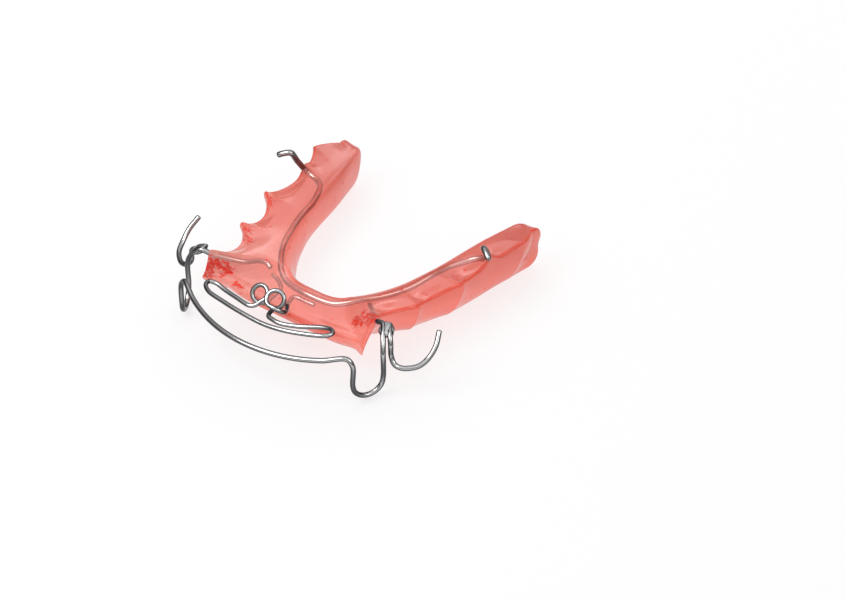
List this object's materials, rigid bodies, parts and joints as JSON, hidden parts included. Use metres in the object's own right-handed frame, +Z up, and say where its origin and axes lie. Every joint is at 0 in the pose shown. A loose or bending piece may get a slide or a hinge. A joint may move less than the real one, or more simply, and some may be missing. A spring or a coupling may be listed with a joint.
{
  "type": "active orthodontic retainer",
  "caption": "Removable lower retainer: pink acrylic lingual plate with scalloped edge, labial bow with U-loops, C-clasps, coiled spring and wire rests.",
  "frame": {"origin": "middle of the bounding box in plan, at the plate's lower border", "axes": "+Z up towards the biting plane, -Y towards the front teeth, +Y towards the heels, X across the arch"},
  "size_m": [0.0404, 0.0422, 0.0108],
  "materials": {
    "acrylic": "polished translucent pink acrylic with fine red mottling",
    "wire": "bright polished stainless steel wire",
    "solder": "smooth silver solder"
  },
  "bodies": {
    "root": {"base_plate": "acrylic", "labial_bow": "wire", "clasp_right": "wire", "clasp_left": "wire", "solder_joint_right": "solder", "solder_joint_left": "solder", "lingual_wire": "wire", "active_spring": "wire"}
  },
  "joints": []
}
